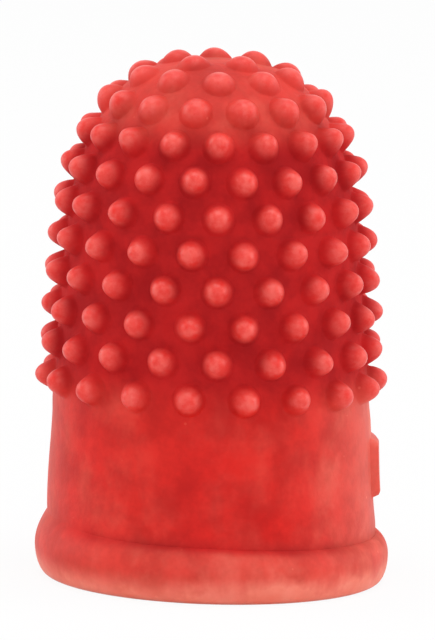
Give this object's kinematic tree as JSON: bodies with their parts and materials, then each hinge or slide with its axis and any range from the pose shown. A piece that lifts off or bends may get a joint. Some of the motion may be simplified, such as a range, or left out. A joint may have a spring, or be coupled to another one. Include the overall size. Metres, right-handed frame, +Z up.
{
  "type": "rubber finger cone",
  "caption": "Red rubber finger cone for counting paper: rolled rim at an open mouth, plain collar, staggered rows of blunt grip nubs and a domed tip that flexes.",
  "frame": {"origin": "on the axis, in the plane of the mouth that the cone stands on", "axes": "+Z up the axis from the mouth to the domed tip, -Y towards the side that the picture shows"},
  "size_m": [0.0194, 0.0194, 0.0288],
  "materials": {
    "red_rubber": "matt moulded natural rubber with a slight bloom"
  },
  "bodies": {
    "collar": {"rolled_rim": "red_rubber", "plain_collar": "red_rubber"},
    "grip": {"grip_ring_1": "red_rubber", "grip_ring_2": "red_rubber", "grip_ring_3": "red_rubber", "grip_ring_4": "red_rubber", "grip_ring_5": "red_rubber", "grip_ring_6": "red_rubber", "grip_ring_7": "red_rubber", "grip_ring_8": "red_rubber", "grip_ring_9": "red_rubber"},
    "tip": {"crown_ring": "red_rubber", "tip_cap": "red_rubber"}
  },
  "joints": [
    {"name": "tip_bend", "type": "hinge", "parent": "collar", "child": "grip", "pos_m": [0, 0, 0.003], "axis": [1, 0, 0], "range_deg": [-12, 12], "stiffness_Nm_per_rad": 0.02},
    {"name": "tip_press", "type": "slide", "parent": "grip", "child": "tip", "axis": [0, 0, 1], "range_m": [-0.0015, 0], "stiffness_N_per_m": 20}
  ]
}
